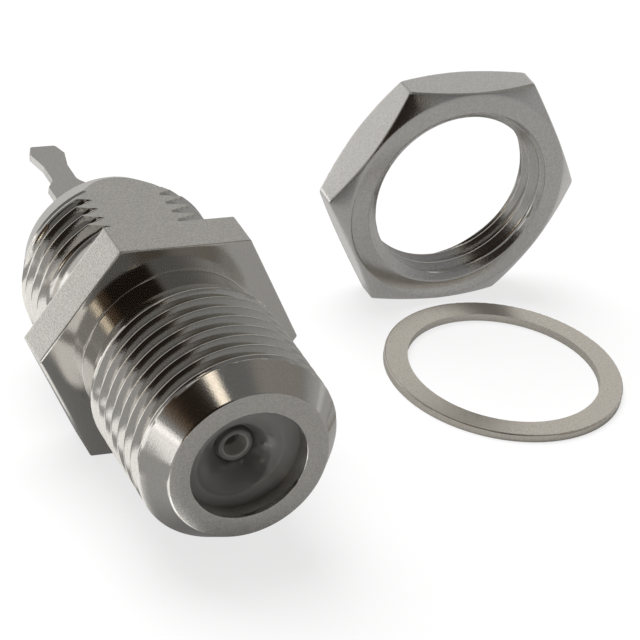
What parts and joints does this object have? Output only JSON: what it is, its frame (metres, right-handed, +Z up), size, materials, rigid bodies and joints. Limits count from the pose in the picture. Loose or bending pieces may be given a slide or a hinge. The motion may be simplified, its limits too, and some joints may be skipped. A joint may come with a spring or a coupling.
{
  "type": "f connector",
  "caption": "Panel-mount F connector jack: threaded hex-flanged metal shell, dished insulator, spring centre contact with solder tab, plus its hex nut and flat washer laid beside it.",
  "frame": {"origin": "on the connector's axis, in the rear face of its hex flange, which seats on the panel", "axes": "+Z up, normal to the keying flat; the mating end of the connector faces -Y and its solder tab leaves towards +Y; the connector lies on a flat of its hex"},
  "size_m": [0.0328, 0.0275, 0.012],
  "materials": {
    "nickel_plate": "bright nickel plate over turned brass",
    "natural_plastic": "smoky grey moulded plastic, slightly translucent",
    "rear_plastic": "moulded off-white plastic",
    "tinned_strip": "tinned bronze strip, satin",
    "nut_plate": "bright nickel plate over brass",
    "washer_plate": "satin nickel plate over brass, slightly warm"
  },
  "bodies": {
    "root": {"shell": "nickel_plate", "front_insulator": "natural_plastic", "rear_insulator": "rear_plastic", "centre_contact": "tinned_strip", "mounting_nut": "nut_plate", "flat_washer": "washer_plate"}
  },
  "joints": []
}
